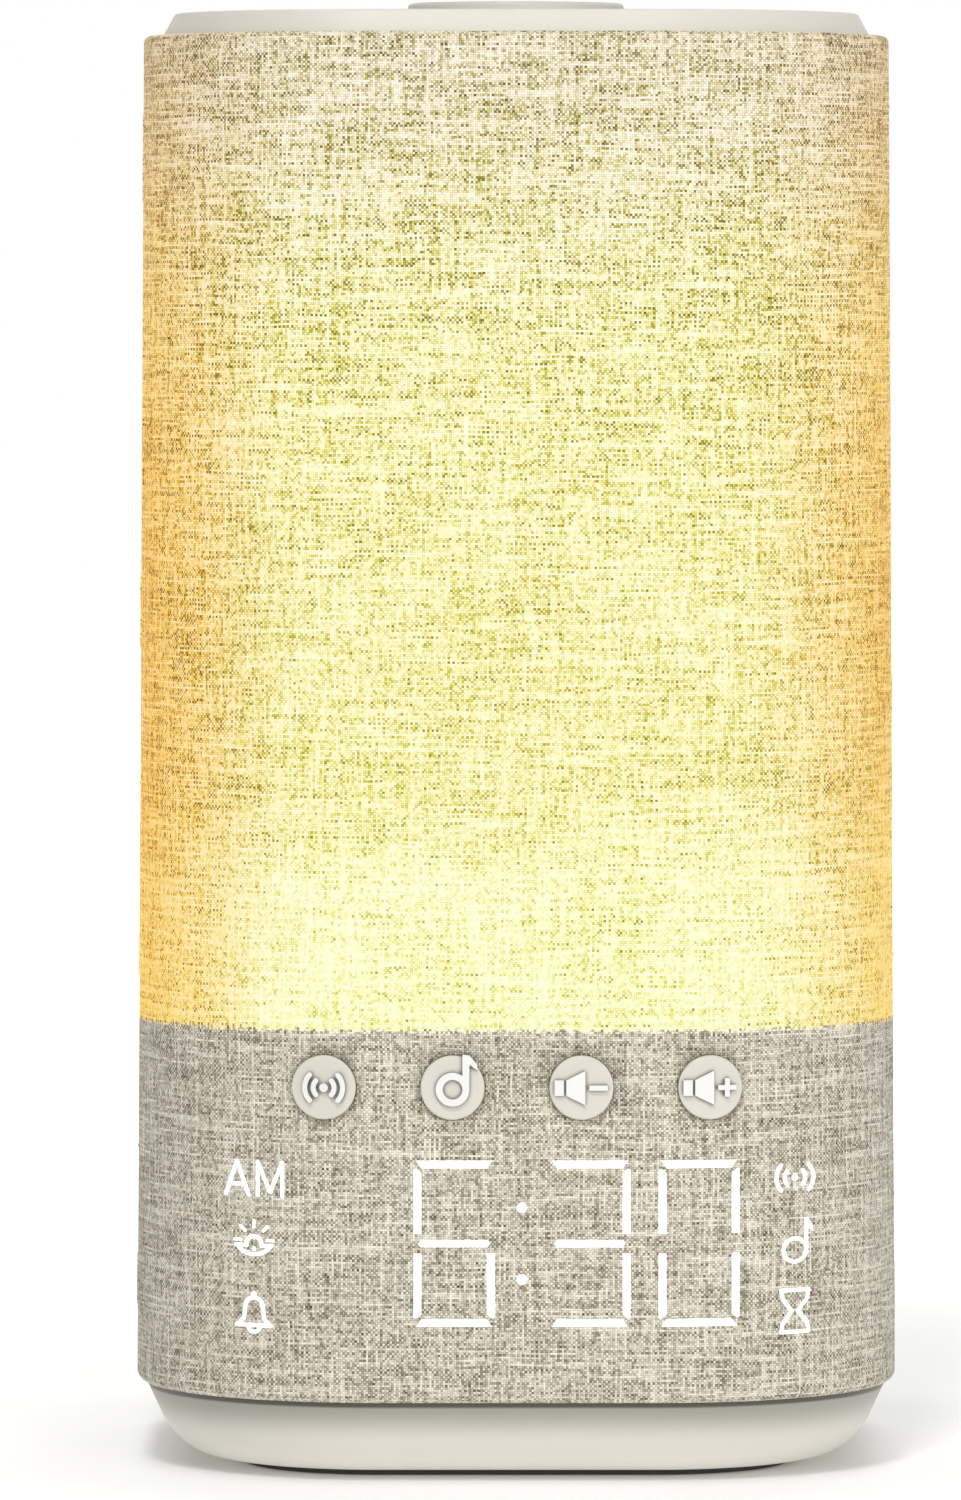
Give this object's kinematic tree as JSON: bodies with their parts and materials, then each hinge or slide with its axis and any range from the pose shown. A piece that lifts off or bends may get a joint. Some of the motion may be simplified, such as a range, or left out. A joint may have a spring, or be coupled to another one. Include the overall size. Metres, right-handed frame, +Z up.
{
  "type": "sunrise alarm clock",
  "caption": "Linen-wrapped rounded-square light column with a glowing upper part, a digital display and keys below, a snooze button on its lid and a moulded base.",
  "frame": {"origin": "on the floor, under the middle of the body", "axes": "+Z up; the display and the front keys face -Y; +X is to the right of someone who faces the display"},
  "size_m": [0.1, 0.1021, 0.1924],
  "materials": {
    "linen": "coarse plain-weave linen in undyed grey-beige, lit warm from behind above the deck",
    "case_plastic": "satin warm white",
    "key_plastic": "satin cream",
    "foot_rubber": "matte dark grey",
    "shade_plastic": "milky translucent",
    "white_plastic": "matt white",
    "black_plastic": "matt black",
    "plunger_plastic": "matt dark",
    "lit_lens": "milky, lit warm white",
    "dark_lens": "milky, unlit",
    "circuit_board": "satin green lacquer",
    "warm_lamp": "yellow phosphor",
    "display_lamp": "pale phosphor",
    "screw_steel": "zinc plated",
    "shield_steel": "bright plated",
    "capacitor_can": "satin",
    "connector_plastic": "cream nylon",
    "cable_grey": "satin grey",
    "lead_red": "satin red",
    "speaker_steel": "satin black",
    "magnet_ferrite": "dark grey ferrite",
    "cone_paper": "black pressed paper",
    "suspension_rubber": "soft black",
    "coil_copper": "enamelled copper"
  },
  "bodies": {
    "case": {"base_cover": "case_plastic", "base_screws": "screw_steel", "board_capacitors": "capacitor_can", "board_chips": "black_plastic", "board_screws": "screw_steel", "cable_sockets": "connector_plastic", "coin_cell": "shield_steel", "coin_cell_holder": "black_plastic", "deck_screws": "screw_steel", "display_chips": "display_lamp", "display_dark_lenses": "dark_lens", "display_lit_lenses": "lit_lens", "display_mask": "black_plastic", "fabric_sleeve": "linen", "foot_ring": "foot_rubber", "front_board": "circuit_board", "front_switch_bodies": "black_plastic", "lid_switch_bodies": "black_plastic", "light_board": "circuit_board", "light_chips": "warm_lamp", "lower_chassis": "white_plastic", "main_board": "circuit_board", "port_bezel": "case_plastic", "power_socket_shell": "shield_steel", "power_socket_tongue": "black_plastic", "reflector_deck": "white_plastic", "ribbon_cables": "cable_grey", "shade_tube": "shade_plastic", "speaker_frame": "speaker_steel", "speaker_gasket": "suspension_rubber", "speaker_grille": "black_plastic", "speaker_leads": "lead_red", "speaker_magnet": "magnet_ferrite", "speaker_suspension": "suspension_rubber", "speaker_yoke": "shield_steel", "top_board": "circuit_board", "top_cap": "case_plastic", "top_reflector": "white_plastic", "wireless_module": "shield_steel"},
    "wireless_key": {"wireless_key": "key_plastic", "wireless_plunger": "plunger_plastic"},
    "sound_key": {"sound_key": "key_plastic", "sound_plunger": "plunger_plastic"},
    "volume_down_key": {"volume_down_key": "key_plastic", "volume_down_plunger": "plunger_plastic"},
    "volume_up_key": {"volume_up_key": "key_plastic", "volume_up_plunger": "plunger_plastic"},
    "clock_key": {"clock_key": "key_plastic", "clock_plunger": "plunger_plastic"},
    "alarm_key": {"alarm_key": "key_plastic", "alarm_plunger": "plunger_plastic"},
    "sunrise_key": {"sunrise_key": "key_plastic", "sunrise_plunger": "plunger_plastic"},
    "timer_key": {"timer_key": "key_plastic", "timer_plunger": "plunger_plastic"},
    "snooze_button": {"snooze_button": "key_plastic", "snooze_plunger": "plunger_plastic"},
    "speaker_cone": {"speaker_cone": "cone_paper", "voice_coil": "coil_copper"}
  },
  "joints": [
    {"name": "wireless_press", "type": "slide", "parent": "case", "child": "wireless_key", "axis": [0, 1, 0], "range_m": [0, 0.0005], "stiffness_N_per_m": 800, "springref_m": -0.0008},
    {"name": "sound_press", "type": "slide", "parent": "case", "child": "sound_key", "axis": [0, 1, 0], "range_m": [0, 0.0005], "stiffness_N_per_m": 800, "springref_m": -0.0008},
    {"name": "volume_down_press", "type": "slide", "parent": "case", "child": "volume_down_key", "axis": [0, 1, 0], "range_m": [0, 0.0005], "stiffness_N_per_m": 800, "springref_m": -0.0008},
    {"name": "volume_up_press", "type": "slide", "parent": "case", "child": "volume_up_key", "axis": [0, 1, 0], "range_m": [0, 0.0005], "stiffness_N_per_m": 800, "springref_m": -0.0008},
    {"name": "snooze_press", "type": "slide", "parent": "case", "child": "snooze_button", "axis": [0, 0, -1], "range_m": [0, 0.0008], "stiffness_N_per_m": 800, "springref_m": -0.0012},
    {"name": "clock_press", "type": "slide", "parent": "case", "child": "clock_key", "axis": [0, 0, -1], "range_m": [0, 0.0005], "stiffness_N_per_m": 800, "springref_m": -0.0008},
    {"name": "alarm_press", "type": "slide", "parent": "case", "child": "alarm_key", "axis": [0, 0, -1], "range_m": [0, 0.0005], "stiffness_N_per_m": 800, "springref_m": -0.0008},
    {"name": "sunrise_press", "type": "slide", "parent": "case", "child": "sunrise_key", "axis": [0, 0, -1], "range_m": [0, 0.0005], "stiffness_N_per_m": 800, "springref_m": -0.0008},
    {"name": "timer_press", "type": "slide", "parent": "case", "child": "timer_key", "axis": [0, 0, -1], "range_m": [0, 0.0005], "stiffness_N_per_m": 800, "springref_m": -0.0008},
    {"name": "speaker_stroke", "type": "slide", "parent": "case", "child": "speaker_cone", "axis": [0, 1, 0], "range_m": [-0.0008, 0.0008], "stiffness_N_per_m": 1500, "deforming": ["speaker_suspension"]}
  ]
}
